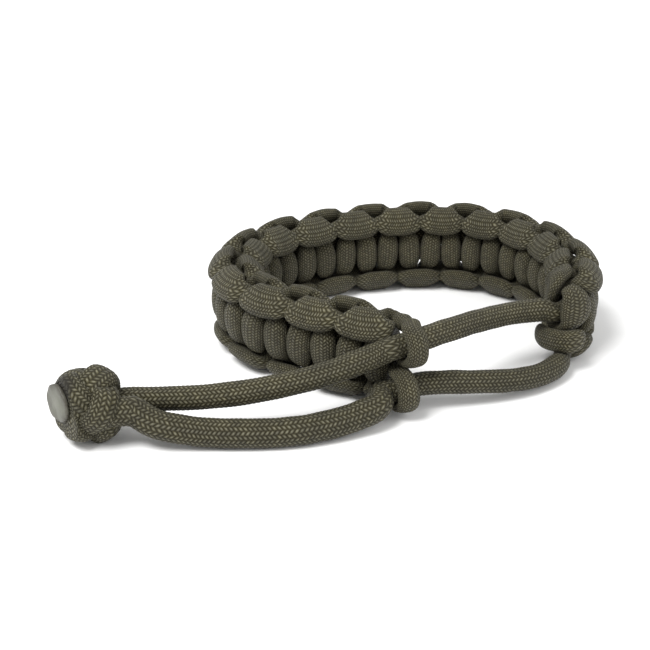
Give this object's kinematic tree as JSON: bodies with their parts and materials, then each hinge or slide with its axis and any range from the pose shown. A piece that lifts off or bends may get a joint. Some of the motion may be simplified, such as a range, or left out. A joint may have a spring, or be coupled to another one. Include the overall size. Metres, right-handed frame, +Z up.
{
  "type": "paracord bracelet",
  "caption": "Olive drab cord bracelet in a cobra weave, closed by pull cords that slide through collars and end in a diamond knot with a melted tip.",
  "frame": {"origin": "bottom centre of the woven band, core cords and collars, on the surface that the bracelet rests on", "axes": "+Z up, across the band's width, +X to the right along the bracelet's longer side, +Y away from the closure's side"},
  "size_m": [0.1013, 0.082, 0.0178],
  "materials": {
    "outer_weave_cord": "braided nylon sheath, matte",
    "inner_weave_cord": "braided nylon sheath, matte",
    "upper_core_cord": "braided nylon sheath, matte",
    "lower_core_cord": "braided nylon sheath, matte",
    "upper_collar": "braided nylon sheath, matte",
    "lower_collar": "braided nylon sheath, matte",
    "upper_pull_cord": "braided nylon sheath, matte",
    "lower_pull_cord": "braided nylon sheath, matte",
    "diamond_knot": "braided nylon sheath, matte",
    "melted_end": "melted nylon, dull and waxy"
  },
  "bodies": {
    "root": {"outer_weave_cord": "outer_weave_cord", "inner_weave_cord": "inner_weave_cord", "upper_core_cord": "upper_core_cord", "lower_core_cord": "lower_core_cord", "upper_collar": "upper_collar", "lower_collar": "lower_collar", "upper_pull_cord": "upper_pull_cord", "lower_pull_cord": "lower_pull_cord", "diamond_knot": "diamond_knot", "melted_end": "melted_end"}
  },
  "joints": []
}
